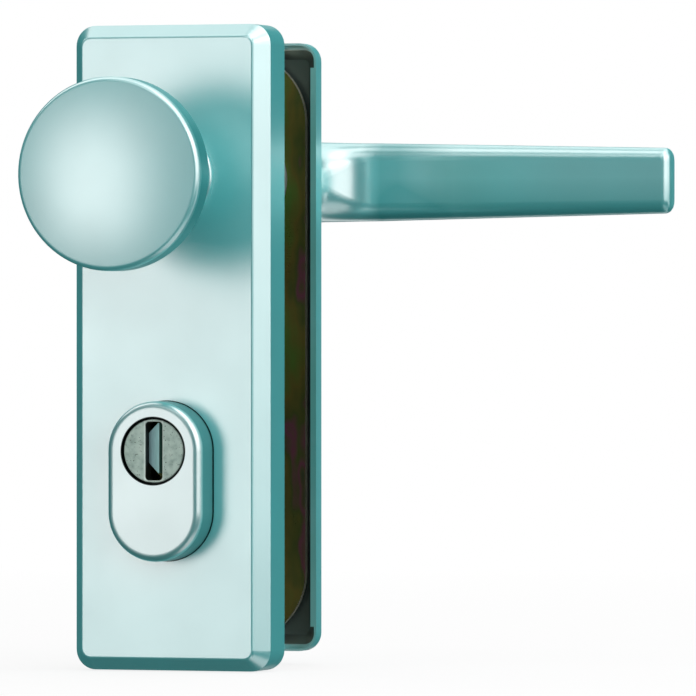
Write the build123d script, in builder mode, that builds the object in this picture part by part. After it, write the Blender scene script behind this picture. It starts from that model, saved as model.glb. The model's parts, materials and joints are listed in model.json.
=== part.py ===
from build123d import *
from math import asin, cos, degrees, radians, sin
import os

# Two-sided security handle set for an entrance door: a fixed knob and a pull-protected cylinder cover on
# the outside plate, a sprung lever on the inside plate, and the bolts and spindle that go through the door.
# Millimetres. The origin is on the spindle axis at the door's outer face. +X is to the right as seen from
# outside, +Y goes through the door to the inside, +Z is up.

# Door, lock and cylinder that the set fits
door_gap = 38.0  # between the two plates
cylinder_drop = 72.0  # from the spindle axis down to the cylinder axis
spindle_side = 8.0
barrel_radius = 8.5
web_width = 10.0
profile_height = 33.0
profile_play = 0.25

# Fits
seat_play = 0.2  # round a piece that lies in a pocket
hole_play = 0.1  # radius, round a screw or a dowel
running_play = 0.05  # radius, in a bearing
end_float = 0.15  # along the axis, between what turns and what stands still
cut_overrun = 1.0  # how far a cutting solid runs past a face

# Outside plate: the shell
outer_width = 54.4
outer_height = 170.0
outer_top = 40.0  # above the spindle axis
outer_depth = 16.0
outer_bevel = 3.3
outer_bevel_depth = 5.0
outer_corner = 5.4
outer_face_corner = 2.4
outer_rounding = 0.7
outer_wall = 2.5
outer_hollow_corner = 1.2

# Outside plate: the hardened plate in the shell
backing_thickness = 6.0
backing_corner = 3.0

# Screws that hold the shell to the hardened plate
cover_screw_side_inset = 8.2  # from the plate's side edge
cover_screw_end_inset = 11.0  # below the plate's top edge, and above its bottom edge
cover_screw_radius = 2.0
cover_screw_head_radius = 3.9
cover_screw_length = 12.0
cover_screw_socket = 1.25  # radius across the corners of the hexagon
cover_screw_socket_depth = 1.5
cover_post_radius = 4.2

# Through bolts and the threaded sleeves that take them
bolt_radius = 3.0
bolt_head_radius = 5.5
bolt_grip = 11.0  # length of bolt inside the sleeve
bolt_socket = 2.3
bolt_socket_depth = 2.2
bolt_post_radius = 7.4
upper_bolt_inset = 12.0  # below the lower of the two plates' top edges
middle_bolt_z = -38.0
lower_bolt_inset = 14.5  # above the higher of the two plates' bottom edges
stud_radius = 6.0
stud_reach = 13.0  # into the door
stud_root_radius = 6.3  # pressed into the hardened plate
stud_flange_radius = 7.8  # sunk in that plate's front
stud_flange = 1.5
stud_floor = 2.0

# Knob
knob_radius = 25.1
knob_rim_width = 1.4
knob_reach = 62.0  # from the door's face to the top of the dome
knob_dome = 1.6
knob_dome_flat = 0.8  # radius of the flat that the turning tool leaves at the dome's middle
knob_rim = 1.9  # depth of the rounded rim
knob_band = 5.8  # straight side behind the rim
knob_flare = 16.0  # length over which the back narrows to the neck
neck_radius = 11.9
collar_width = 1.3
collar_height = 2.2
collar_rounding = 0.7
knob_screw_radius = 3.0
knob_screw_head_radius = 5.8
knob_screw_length = 22.0
knob_screw_socket = 2.3
knob_screw_socket_depth = 2.2
knob_screw_tip_room = 2.0
knob_pin_radius = 1.5
knob_pin_inset = 2.2  # from the neck's surface
knob_pin_length = 9.0
knob_pin_tip_room = 0.5

# Cylinder cover and the turning disc in it
pull_width = 26.0
pull_height = 42.0
pull_reach = 26.4
pull_rounding = 1.9
pull_flange = 2.0  # wider than the oval all round
pull_lip = 2.0
pull_wall = 1.8  # outside the snap ring's groove
disc_gap = 0.6  # between the disc and the hole in the lip
disc_recess = 0.5
disc_shoulder = 1.4  # from the disc's nose out to its flange
disc_flange = 3.0
disc_edge = 0.2
key_slot_width = 4.8
key_slot_end_wall = 0.6
key_slot_corner = 1.0
key_slot_chamfer = 0.2
carrier_wall = 0.7
carrier_lip = 1.0
carrier_lip_width = 1.6
float_travel = 2.5
snap_ring_width = 2.2
snap_ring_groove = 0.8  # how deep it sits in the cover
snap_ring_thickness = 1.0
snap_ring_gap_play = 0.7  # each side of the cylinder's web
disc_spring_wire = 0.5
disc_spring_turns = 2.5
disc_spring_room = 3.9  # between the carrier and the snap ring
pull_screw_side_inset = 3.4  # from the oval's side
pull_screw_drop = 2.0  # below the middle of the oval's lower round end
pull_screw_radius = 2.0
pull_screw_head_radius = 3.8
pull_screw_length = 14.0
web_room = 11.0  # depth of the cover's pocket for the cylinder's web

# Inside plate: the shell
inner_width = 45.5
inner_height = 163.0
inner_top = 36.5
inner_depth = 8.0
inner_bevel = 2.6
inner_bevel_depth = 3.6
inner_corner = 5.0
inner_face_corner = 2.6
inner_rounding = 0.6
inner_wall = 1.6
inner_hollow_corner = 1.4
relief_side = 6.6  # how far each corner's relief runs along the side
relief_end = 10.5  # and along the end
relief_lip = 0.6  # wall left outside it
relief_depth = 3.8

# Inside plate: the steel strap in the shell
strap_side_gap = 2.15  # between the strap and the shell's wall
strap_end_gap = 0.7
strap_thickness = 2.0
strap_recess = 2.0  # behind the shell's rim

# Lever
lever_neck_radius = 11.15
lever_bend_radius = 12.0  # concave, between the neck and the arm
lever_back = 39.0  # from the inside plate's face to the back of the arm
lever_root_thickness = 11.0
lever_tip_thickness = 8.0
lever_tip_height = 17.7
lever_reach = 107.0
lever_root_flat = 1.4  # left between the rounded edges of the arm's narrow side
lever_tip_flat = 0.8
lever_end_rounding = 2.2
lever_neck_corner_share = 0.98  # of the neck's half width, so that its section is close to a circle
elbow_steps = 6
journal_radius = 7.8
journal_end_lip = 1.2  # left behind the circlip
journal_flat_depth = 1.2  # of each flat that drives the stop plate
spindle_play = 0.05  # each side of the spindle
spindle_outer_end = 8.0
spindle_grip = 14.0  # from the inside plate's face into the neck
spindle_chamfer = 0.8
spindle_tip_room = 1.0
grub_radius = 3.0
grub_recess = 0.95  # below the neck's surface
grub_height = 8.0  # from the inside plate's face along the neck
grub_socket = 1.7
grub_socket_depth = 2.5

# Lever bearing, return spring and stop
bush_wall = 1.2
bush_flange_width = 1.6
bush_flange = 0.6
housing_wall = 1.2
housing_floor = 1.0
housing_inset = 0.3  # in front of the shell's rim
housing_flange_width = 1.8
housing_flange = 1.0
finger_gap = 1.6  # between the journal and the finger
finger_width = 1.5
finger_half_angle = 8.0
finger_height = 3.2  # beyond the plate
stop_half_angle = 22.5  # the lever turns twice this
stop_play_angle = 0.4
driver_rim = 1.1  # outside the finger
driver_thickness = 1.2
washer_width = 2.2
washer_thickness = 0.3
circlip_groove = 0.6  # how deep it sits in the journal
circlip_width = 2.4
circlip_thickness = 1.0
circlip_gap = 5.0
spring_wire = 1.0
spring_turns = 2.5
spring_gap = 0.4  # between the coil and the finger
spring_play = 0.3  # between the coil and the cup
spring_leg_overhang = 0.2  # how far the driven leg reaches past the finger's inner side
spring_slot_play = 0.3  # each side of the fixed leg


# Places worked out from the sizes above
outer_side = outer_depth - outer_bevel_depth
outer_middle = outer_top - outer_height / 2
outer_bottom = outer_top - outer_height
hollow_front = -(outer_depth - outer_wall)
backing_front = -backing_thickness
cover_screw_x = outer_width / 2 - cover_screw_side_inset
cover_screw_places = [
    (x, z)
    for x in (-cover_screw_x, cover_screw_x)
    for z in (outer_top - cover_screw_end_inset, outer_bottom + cover_screw_end_inset)
]
inner_bottom = inner_top - inner_height
upper_bolt_z = min(outer_top, inner_top) - upper_bolt_inset
lower_bolt_z = max(outer_bottom, inner_bottom) + lower_bolt_inset
bolt_places = [(0, upper_bolt_z), (0, middle_bolt_z), (0, lower_bolt_z)]

knob_face_radius = knob_radius - knob_rim_width
collar_radius = neck_radius + collar_width
knob_pin_offset = neck_radius - knob_pin_inset
knob_pin_places = [(-knob_pin_offset, 0), (knob_pin_offset, 0)]

# The oval's upper round end, the disc and the rings behind it share the cylinder's axis
pull_straight = pull_height - pull_width
pull_middle = -cylinder_drop - pull_straight / 2
pull_screw_x = pull_width / 2 - pull_screw_side_inset
pull_screw_z = -cylinder_drop - pull_straight - pull_screw_drop
pull_screw_places = [(-pull_screw_x, pull_screw_z), (pull_screw_x, pull_screw_z)]
snap_ring_radius = pull_width / 2 - pull_wall
snap_ring_bore_radius = snap_ring_radius - snap_ring_width
snap_ring_gap = web_width + 2 * snap_ring_gap_play
carrier_radius = snap_ring_radius - snap_ring_groove
carrier_lip_radius = carrier_radius - carrier_lip_width
disc_flange_radius = carrier_radius - carrier_wall
disc_radius = disc_flange_radius - disc_shoulder
disc_hole_radius = disc_radius + disc_gap
key_slot_height = 2 * (disc_radius - key_slot_end_wall)

inner_side = inner_depth - inner_bevel_depth
inner_face = door_gap + inner_depth
inner_middle = inner_top - inner_height / 2
inner_hollow = inner_face - inner_wall
strap_back = door_gap + strap_recess
strap_front = strap_back + strap_thickness
strap_width = inner_width - 2 * (inner_wall + strap_side_gap)
strap_height = inner_height - 2 * (inner_wall + strap_end_gap)

# Everything round the lever's journal, from the journal outwards
bush_radius = journal_radius + bush_wall
bush_flange_radius = bush_radius + bush_flange_width
journal_flat = journal_radius - journal_flat_depth
circlip_seat_radius = journal_radius - circlip_groove
circlip_radius = circlip_seat_radius + circlip_width
washer_radius = journal_radius + washer_width
finger_inner_radius = journal_radius + finger_gap
finger_outer_radius = finger_inner_radius + finger_width
driver_radius = finger_outer_radius + driver_rim
spring_radius = finger_outer_radius + spring_gap + spring_wire / 2
spring_leg_radius = finger_inner_radius - spring_leg_overhang
housing_bore_radius = spring_radius + spring_wire / 2 + spring_play
housing_radius = housing_bore_radius + housing_wall
housing_flange_radius = housing_radius + housing_flange_width
spring_slot = spring_wire + 2 * spring_slot_play
spindle_inner_end = inner_face + spindle_grip

# Depths of the cup's floor, the stop plate, the washer and the circlip, from the inside plate outwards
housing_floor_start = door_gap + housing_inset
driver_front = housing_floor_start - 2 * end_float
driver_back = driver_front - driver_thickness
circlip_front = driver_back - washer_thickness
journal_end = circlip_front - circlip_thickness - journal_end_lip


upright = (Align.CENTER, Align.CENTER, Align.MIN)


def across(y):
    """The plane square to the door at depth y: local x is X, local y is Z, and it faces outwards."""
    return Plane.XZ.offset(-y)


def profile_outline(play):
    """A profile cylinder's outline: a round barrel over a narrower web with a round foot."""
    foot_radius = web_width / 2 + play
    foot_drop = profile_height - barrel_radius - web_width / 2
    with Locations((0, -cylinder_drop)):
        Circle(barrel_radius + play)
        Rectangle(2 * foot_radius, foot_drop, align=(Align.CENTER, Align.MAX))
    with Locations((0, -cylinder_drop - foot_drop)):
        Circle(foot_radius)


def countersunk(y, places, shank_radius, head_radius, length, mode=Mode.ADD):
    """Countersunk screws whose flat heads lie at depth y and whose shanks run outwards from there."""
    with Locations(across(y)):
        with Locations(*places):
            Cone(head_radius, shank_radius, head_radius - shank_radius, align=upright, mode=mode)
            Cylinder(shank_radius, length, align=upright, mode=mode)


def hexagon_sockets(y, places, radius, depth):
    """Hexagon sockets sunk into screw heads that lie at depth y."""
    with BuildSketch(across(y)) as hexagons:
        with Locations(*places):
            RegularPolygon(radius, 6)
    extrude(hexagons.sketch, amount=depth, mode=Mode.SUBTRACT)


def rounded_plate(y, width, height, middle, corner):
    """A rectangle with rounded corners at depth y, with its middle at height middle."""
    with BuildSketch(across(y)) as outline:
        with Locations((0, middle)):
            RectangleRounded(width, height, corner)
    return outline.sketch


def bevelled_plate(back, front, side, width, height, middle, bevel, corner, face_corner, mode=Mode.ADD):
    """A plate with straight sides and a bevelled front, from depth back to depth front."""
    way = 1 if front > back else -1
    edge = back + way * side
    extrude(rounded_plate(back, width, height, middle, corner), amount=-way * side, mode=mode)
    loft(
        [
            rounded_plate(edge, width, height, middle, corner),
            rounded_plate(front, width - 2 * bevel, height - 2 * bevel, middle, face_corner),
        ],
        ruled=True,
        mode=mode,
    )


os.makedirs("parts", exist_ok=True)

# Outside plate, its shell: open at the back, with posts for the screws and a seat round the knob's neck
with BuildPart() as outer_cover:
    bevelled_plate(
        0, -outer_depth, outer_side, outer_width, outer_height, outer_middle,
        outer_bevel, outer_corner, outer_face_corner,
    )
    face_edges = outer_cover.faces().sort_by(Axis.Y)[0].edges()
    fillet(face_edges, radius=outer_rounding)
    bevelled_plate(
        0, hollow_front, outer_side, outer_width - 2 * outer_wall, outer_height - 2 * outer_wall,
        outer_middle, outer_bevel, outer_corner - outer_wall, outer_hollow_corner, mode=Mode.SUBTRACT,
    )
    with BuildSketch(across(backing_front)):
        with Locations(*cover_screw_places):
            Circle(cover_post_radius)
        Circle(collar_radius + outer_wall)
    extrude(amount=hollow_front * -1 - backing_thickness)
    with BuildSketch(across(backing_front)):
        with Locations(*cover_screw_places):
            Circle(cover_screw_radius + hole_play)
    extrude(amount=cover_screw_length - backing_thickness + hole_play, mode=Mode.SUBTRACT)
    with BuildSketch(across(backing_front)):
        Circle(neck_radius + hole_play)
        with Locations((0, pull_middle)):
            SlotOverall(pull_height + 2 * seat_play, pull_width + 2 * seat_play, rotation=90)
    extrude(amount=outer_depth - backing_thickness + cut_overrun, mode=Mode.SUBTRACT)
outer_cover.part.label = "outer_cover"
export_step(outer_cover.part, "parts/outer_cover.step")

# Outside plate, its hardened plate, flush with the shell's rim
with BuildPart() as outer_backing_plate:
    with BuildSketch(across(0)):
        with Locations((0, outer_middle)):
            RectangleRounded(
                outer_width - 2 * (outer_wall + seat_play),
                outer_height - 2 * (outer_wall + seat_play),
                backing_corner,
            )
    extrude(amount=backing_thickness)
    with BuildSketch(across(0)):
        profile_outline(profile_play)
        with Locations(*bolt_places):
            Circle(stud_root_radius)
        with Locations(*knob_pin_places):
            Circle(knob_pin_radius)
    extrude(amount=backing_thickness, mode=Mode.SUBTRACT)
    with BuildSketch(across(backing_front + stud_flange)):
        with Locations(*bolt_places):
            Circle(stud_flange_radius + hole_play)
    extrude(amount=stud_flange, mode=Mode.SUBTRACT)
    countersunk(
        0, [(0, 0)], knob_screw_radius + hole_play, knob_screw_head_radius + hole_play,
        backing_thickness, mode=Mode.SUBTRACT,
    )
    countersunk(
        0, cover_screw_places, cover_screw_radius + hole_play, cover_screw_head_radius + hole_play,
        backing_thickness, mode=Mode.SUBTRACT,
    )
    countersunk(
        0, pull_screw_places, pull_screw_radius + hole_play, pull_screw_head_radius + hole_play,
        backing_thickness, mode=Mode.SUBTRACT,
    )
outer_backing_plate.part.label = "outer_backing_plate"
export_step(outer_backing_plate.part, "parts/outer_backing_plate.step")

# Three threaded sleeves pressed into the hardened plate: they reach into the door and take the bolts
with BuildPart() as mounting_studs:
    with BuildSketch(across(stud_reach)):
        with Locations(*bolt_places):
            Circle(stud_radius)
    extrude(amount=stud_reach)
    with BuildSketch(across(0)):
        with Locations(*bolt_places):
            Circle(stud_root_radius)
    extrude(amount=backing_thickness)
    with BuildSketch(across(backing_front + stud_flange)):
        with Locations(*bolt_places):
            Circle(stud_flange_radius)
    extrude(amount=stud_flange)
    with BuildSketch(across(stud_reach)):
        with Locations(*bolt_places):
            Circle(bolt_radius + hole_play)
    extrude(amount=stud_reach + backing_thickness - stud_floor, mode=Mode.SUBTRACT)
mounting_studs.part.label = "mounting_studs"
export_step(mounting_studs.part, "parts/mounting_studs.step")

# Four screws from the door side that hold the shell to the hardened plate
with BuildPart() as outer_cover_screws:
    countersunk(0, cover_screw_places, cover_screw_radius, cover_screw_head_radius, cover_screw_length)
    hexagon_sockets(0, cover_screw_places, cover_screw_socket, cover_screw_socket_depth)
outer_cover_screws.part.label = "outer_cover_screws"
export_step(outer_cover_screws.part, "parts/outer_cover_screws.step")

# Knob: one turned piece, a gently domed face, a rounded rim, a straight band and a back that flares in
# to the neck, which goes through the shell and seats on the hardened plate
dome_edge = -(knob_reach - knob_dome)
band_start = dome_edge + knob_rim
band_end = band_start + knob_band
flare_end = band_end + knob_flare
with BuildPart() as knob_head:
    with BuildSketch(Plane.XY):
        with BuildLine():
            Line((0, -knob_reach), (knob_dome_flat, -knob_reach))
            dome_width = knob_face_radius - knob_dome_flat
            dome_radius = (dome_width**2 + knob_dome**2) / (2 * knob_dome)
            dome_middle = (
                knob_dome_flat + dome_width / 2,
                -knob_reach + dome_radius - (dome_radius**2 - (dome_width / 2) ** 2) ** 0.5,
            )
            ThreePointArc((knob_dome_flat, -knob_reach), dome_middle, (knob_face_radius, dome_edge))
            EllipticalCenterArc(
                (knob_face_radius, band_start), knob_radius - knob_face_radius, knob_rim,
                start_angle=270, arc_size=90,
            )
            Line((knob_radius, band_start), (knob_radius, band_end))
            EllipticalCenterArc(
                (knob_radius, flare_end), knob_radius - neck_radius, knob_flare,
                start_angle=180, arc_size=90,
            )
            Polyline((neck_radius, flare_end), (neck_radius, backing_front), (0, backing_front), (0, -knob_reach))
        make_face()
    revolve(axis=Axis.Y)
    with BuildSketch(across(backing_front)):
        Circle(knob_screw_radius + hole_play)
    extrude(amount=knob_screw_length - backing_thickness + knob_screw_tip_room, mode=Mode.SUBTRACT)
    with BuildSketch(across(backing_front)):
        with Locations(*knob_pin_places):
            Circle(knob_pin_radius + hole_play)
    extrude(amount=knob_pin_length - backing_thickness + knob_pin_tip_room, mode=Mode.SUBTRACT)
knob_head.part.label = "knob_head"
export_step(knob_head.part, "parts/knob_head.step")

# Ring that covers the hole round the knob's neck
with BuildPart() as knob_collar:
    with BuildSketch(across(-outer_depth)):
        Circle(collar_radius)
        Circle(neck_radius + hole_play, mode=Mode.SUBTRACT)
    extrude(amount=collar_height)
    fillet(knob_collar.faces().sort_by(Axis.Y)[0].outer_wire().edges(), radius=collar_rounding)
knob_collar.part.label = "knob_collar"
export_step(knob_collar.part, "parts/knob_collar.step")

# Screw from the door side that pulls the knob's neck against the hardened plate
with BuildPart() as knob_screw:
    countersunk(0, [(0, 0)], knob_screw_radius, knob_screw_head_radius, knob_screw_length)
    hexagon_sockets(0, [(0, 0)], knob_screw_socket, knob_screw_socket_depth)
knob_screw.part.label = "knob_screw"
export_step(knob_screw.part, "parts/knob_screw.step")

# Two dowels that keep the knob from turning
with BuildPart() as knob_pins:
    with BuildSketch(across(0)):
        with Locations(*knob_pin_places):
            Circle(knob_pin_radius)
    extrude(amount=knob_pin_length)
knob_pins.part.label = "knob_pins"
export_step(knob_pins.part, "parts/knob_pins.step")

# Cylinder cover: an oval block that stands out of the shell, with a flange behind the shell's face and a
# pocket for the cylinder's nose; its front lip holds the turning disc in
lip_back = -(pull_reach - pull_lip)
flange_front = hollow_front + seat_play
carrier_front = lip_back + end_float
carrier_back = carrier_front + disc_flange + end_float + carrier_lip
snap_ring_front = carrier_back + disc_spring_room
with BuildPart() as cylinder_cover:
    with BuildSketch(across(backing_front)):
        with Locations((0, pull_middle)):
            SlotOverall(pull_height, pull_width, rotation=90)
    extrude(amount=pull_reach - backing_thickness)
    fillet(cylinder_cover.faces().sort_by(Axis.Y)[0].edges(), radius=pull_rounding)
    with BuildSketch(across(backing_front)):
        with Locations((0, pull_middle)):
            SlotOverall(pull_height + 2 * pull_flange, pull_width + 2 * pull_flange, rotation=90)
    extrude(amount=backing_front - flange_front)
    with BuildSketch(across(backing_front)):
        with Locations((0, -cylinder_drop)):
            Circle(carrier_radius + running_play)
    extrude(amount=backing_front - lip_back, mode=Mode.SUBTRACT)
    with BuildSketch(across(backing_front)):
        with Locations((0, -cylinder_drop)):
            Circle(disc_hole_radius)
    extrude(amount=pull_reach - backing_thickness + cut_overrun, mode=Mode.SUBTRACT)
    with BuildSketch(across(snap_ring_front + snap_ring_thickness)):
        with Locations((0, -cylinder_drop)):
            Circle(snap_ring_radius + hole_play)
    extrude(amount=snap_ring_thickness, mode=Mode.SUBTRACT)
    with BuildSketch(across(backing_front)):
        profile_outline(profile_play)
    extrude(amount=web_room, mode=Mode.SUBTRACT)
    with BuildSketch(across(backing_front)):
        with Locations(*pull_screw_places):
            Circle(pull_screw_radius + hole_play)
    extrude(amount=pull_screw_length - backing_thickness + hole_play, mode=Mode.SUBTRACT)
cylinder_cover.part.label = "cylinder_cover"
export_step(cylinder_cover.part, "parts/cylinder_cover.step")

# Two screws from the door side that hold the cylinder cover to the hardened plate
with BuildPart() as cylinder_cover_screws:
    countersunk(0, pull_screw_places, pull_screw_radius, pull_screw_head_radius, pull_screw_length)
    hexagon_sockets(0, pull_screw_places, cover_screw_socket, cover_screw_socket_depth)
cylinder_cover_screws.part.label = "cylinder_cover_screws"
export_step(cylinder_cover_screws.part, "parts/cylinder_cover_screws.step")

# Turning disc with the key slot: a nose in the cover's hole and a flange behind the cover's lip
disc_face = -(pull_reach - disc_recess)
disc_flange_front = carrier_front
with BuildPart() as core_disc:
    with BuildSketch(across(disc_flange_front + disc_flange)):
        with Locations((0, -cylinder_drop)):
            Circle(disc_flange_radius)
    extrude(amount=disc_flange)
    with BuildSketch(across(disc_flange_front)):
        with Locations((0, -cylinder_drop)):
            Circle(disc_radius)
    extrude(amount=disc_flange_front - disc_face)
    chamfer(core_disc.faces().sort_by(Axis.Y)[0].edges(), length=disc_edge)
    with BuildSketch(across(disc_flange_front + disc_flange)):
        with Locations((0, -cylinder_drop)):
            RectangleRounded(key_slot_width, key_slot_height, key_slot_corner)
    extrude(amount=disc_flange_front + disc_flange - disc_face, mode=Mode.SUBTRACT)
    chamfer(core_disc.faces().sort_by(Axis.Y)[0].inner_wires().edges(), length=key_slot_chamfer)
core_disc.part.label = "core_disc"
export_step(core_disc.part, "parts/core_disc.step")

# Floating ring round the disc's flange, with a lip behind it
with BuildPart() as disc_carrier:
    with BuildSketch(across(carrier_back)):
        with Locations((0, -cylinder_drop)):
            Circle(carrier_radius)
            Circle(carrier_lip_radius, mode=Mode.SUBTRACT)
    extrude(amount=carrier_back - carrier_front)
    with BuildSketch(across(carrier_back - carrier_lip)):
        with Locations((0, -cylinder_drop)):
            Circle(disc_flange_radius + running_play)
    extrude(amount=carrier_back - carrier_lip - carrier_front, mode=Mode.SUBTRACT)
disc_carrier.part.label = "disc_carrier"
export_step(disc_carrier.part, "parts/disc_carrier.step")

# Light coil that pushes the carrier outwards
with BuildPart() as disc_spring:
    disc_spring_radius = carrier_radius - disc_spring_wire
    disc_spring_height = disc_spring_room - disc_spring_wire - 2 * end_float
    disc_spring_start = (0, carrier_back + end_float + disc_spring_wire / 2, -cylinder_drop)
    with BuildLine() as disc_coil:
        Helix(
            pitch=disc_spring_height / disc_spring_turns, height=disc_spring_height,
            radius=disc_spring_radius, center=disc_spring_start, direction=(0, 1, 0),
        )
    with BuildSketch(Plane(origin=disc_coil.line @ 0, z_dir=disc_coil.line % 0)):
        Circle(disc_spring_wire / 2)
    sweep(path=disc_coil.line, is_frenet=True)
disc_spring.part.label = "disc_spring"
export_step(disc_spring.part, "parts/disc_spring.step")

# Open ring in the cover's groove that the spring stands on; its gap lets the cylinder's web pass
with BuildPart() as disc_snap_ring:
    with BuildSketch(across(snap_ring_front + snap_ring_thickness)):
        with Locations((0, -cylinder_drop)):
            Circle(snap_ring_radius)
            Circle(snap_ring_bore_radius, mode=Mode.SUBTRACT)
            Rectangle(snap_ring_gap, 2 * snap_ring_radius, align=(Align.CENTER, Align.MAX), mode=Mode.SUBTRACT)
    extrude(amount=snap_ring_thickness)
disc_snap_ring.part.label = "disc_snap_ring"
export_step(disc_snap_ring.part, "parts/disc_snap_ring.step")

# Inside plate, its shell: thin walled and open at the back, with posts round the bolts; each corner of
# its rim is relieved from the inside, which leaves a thin lip there
inner_corner_places = [(x * inner_width / 2, z) for x in (-1, 1) for z in (inner_top, inner_bottom)]
with BuildPart() as inner_cover:
    bevelled_plate(
        door_gap, inner_face, inner_side, inner_width, inner_height, inner_middle,
        inner_bevel, inner_corner, inner_face_corner,
    )
    fillet(inner_cover.faces().sort_by(Axis.Y)[-1].edges(), radius=inner_rounding)
    bevelled_plate(
        door_gap, inner_hollow, inner_side, inner_width - 2 * inner_wall, inner_height - 2 * inner_wall,
        inner_middle, inner_bevel, inner_corner - inner_wall, inner_hollow_corner, mode=Mode.SUBTRACT,
    )
    with BuildSketch(across(inner_hollow)):
        with Locations(*bolt_places):
            Circle(bolt_post_radius)
    extrude(amount=inner_hollow - strap_front)
    with BuildSketch(across(door_gap + relief_depth)):
        with Locations(*inner_corner_places):
            Rectangle(2 * relief_end, 2 * relief_side)
        with Locations((0, inner_middle)):
            RectangleRounded(
                inner_width - 2 * relief_lip, inner_height - 2 * relief_lip, inner_corner - relief_lip,
                mode=Mode.INTERSECT,
            )
    extrude(amount=relief_depth, mode=Mode.SUBTRACT)
    countersunk(
        inner_face, bolt_places, bolt_radius + hole_play, bolt_head_radius + hole_play,
        inner_depth, mode=Mode.SUBTRACT,
    )
    with BuildSketch(across(inner_face)):
        Circle(bush_radius + running_play)
        profile_outline(profile_play)
    extrude(amount=inner_depth, mode=Mode.SUBTRACT)
inner_cover.part.label = "inner_cover"
export_step(inner_cover.part, "parts/inner_cover.step")

# Inside plate, its steel strap with round ends
with BuildPart() as inner_mounting_plate:
    with BuildSketch(across(strap_front)):
        with Locations((0, inner_middle)):
            SlotOverall(strap_height, strap_width, rotation=90)
        with Locations(*bolt_places):
            Circle(bolt_radius + hole_play, mode=Mode.SUBTRACT)
        Circle(housing_radius + hole_play, mode=Mode.SUBTRACT)
    extrude(amount=strap_thickness)
    with BuildSketch(across(strap_front)):
        profile_outline(profile_play)
    extrude(amount=strap_thickness, mode=Mode.SUBTRACT)
inner_mounting_plate.part.label = "inner_mounting_plate"
export_step(inner_mounting_plate.part, "parts/inner_mounting_plate.step")

# Three bolts from the inside plate's face through the door into the sleeves
with BuildPart() as through_bolts:
    countersunk(inner_face, bolt_places, bolt_radius, bolt_head_radius, inner_face - stud_reach + bolt_grip)
    hexagon_sockets(inner_face, bolt_places, bolt_socket, bolt_socket_depth)
through_bolts.part.label = "through_bolts"
export_step(through_bolts.part, "parts/through_bolts.step")

# Cup for the return spring, riveted into the strap; the slot in its floor stops the finger
housing_front = strap_front + housing_flange
leg_angle = 90  # the driven leg points up
leg_half_angle = degrees(asin((spring_wire / 2 + end_float) / finger_inner_radius))
finger_rest_angle = leg_angle + leg_half_angle + finger_half_angle
slot_middle_angle = finger_rest_angle - stop_half_angle
slot_half_angle = stop_half_angle + finger_half_angle + stop_play_angle


def arc_band(inner, outer, middle_angle, half_angle):
    """A flat piece of a ring round the spindle axis, with straight ends."""
    with BuildLine() as band:
        start = middle_angle - half_angle
        inner_arc = CenterArc((0, 0), inner, start, 2 * half_angle)
        outer_arc = CenterArc((0, 0), outer, start, 2 * half_angle)
        Line(inner_arc @ 0, outer_arc @ 0)
        Line(inner_arc @ 1, outer_arc @ 1)
    make_face(band.edges())


with BuildPart() as spring_housing:
    with BuildSketch(across(housing_front)):
        Circle(housing_flange_radius)
    extrude(amount=housing_flange)
    with BuildSketch(across(housing_front)):
        Circle(housing_radius)
    extrude(amount=housing_front - housing_floor_start)
    with BuildSketch(across(housing_front)):
        Circle(housing_bore_radius)
    extrude(amount=housing_front - housing_floor_start - housing_floor, mode=Mode.SUBTRACT)
    with BuildSketch(across(housing_front)):
        Circle(journal_radius + hole_play)
        with Locations((0, -housing_radius)):
            Rectangle(spring_slot, 2 * (housing_radius - housing_bore_radius) + spring_slot, mode=Mode.ADD)
    extrude(amount=housing_front - housing_floor_start, mode=Mode.SUBTRACT)
    with BuildSketch(across(housing_front)):
        arc_band(
            finger_inner_radius - seat_play, finger_outer_radius + seat_play, slot_middle_angle, slot_half_angle,
        )
    extrude(amount=housing_front - housing_floor_start, mode=Mode.SUBTRACT)
spring_housing.part.label = "spring_housing"
export_step(spring_housing.part, "parts/spring_housing.step")

# Nylon bearing for the lever's journal, with a thin flange that the lever's neck turns against
with BuildPart() as lever_bush:
    with BuildSketch(across(inner_face + bush_flange)):
        Circle(bush_flange_radius)
    extrude(amount=bush_flange)
    with BuildSketch(across(inner_face)):
        Circle(bush_radius)
    extrude(amount=inner_face - housing_floor_start - housing_floor)
    with BuildSketch(across(inner_face + bush_flange)):
        Circle(journal_radius + running_play)
    extrude(amount=inner_depth + bush_flange, mode=Mode.SUBTRACT)
lever_bush.part.label = "lever_bush"
export_step(lever_bush.part, "parts/lever_bush.step")

# Torsion coil in the cup: its fixed leg lies in the cup's slot, its driven leg lies against the finger
coil_start = housing_floor_start + housing_floor + end_float + spring_wire / 2
coil_height = inner_hollow - end_float - spring_wire / 2 - coil_start
with BuildPart() as lever_return_spring:
    with BuildLine() as return_coil:
        Helix(
            pitch=coil_height / spring_turns, height=coil_height, radius=spring_radius,
            center=(0, coil_start, 0), direction=(0, 1, 0),
        )
    with BuildSketch(Plane(origin=return_coil.line @ 0, z_dir=return_coil.line % 0)):
        Circle(spring_wire / 2)
    sweep(path=return_coil.line, is_frenet=True)
    leg_start = return_coil.line @ 0
    fixed_start = return_coil.line @ 1
    for joint in (leg_start, fixed_start):
        with Locations(joint):
            Sphere(spring_wire / 2)
    with Locations(Plane(origin=leg_start, z_dir=(0, 0, -1))):
        Cylinder(spring_wire / 2, spring_radius - spring_leg_radius, align=upright)
    with Locations(Plane(origin=fixed_start, z_dir=(0, 0, -1))):
        Cylinder(spring_wire / 2, housing_radius - spring_radius, align=upright)
lever_return_spring.part.label = "lever_return_spring"
export_step(lever_return_spring.part, "parts/lever_return_spring.step")

grub_y = inner_face + grub_height
grub_length = lever_neck_radius - spindle_side / 2 - grub_recess

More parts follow.
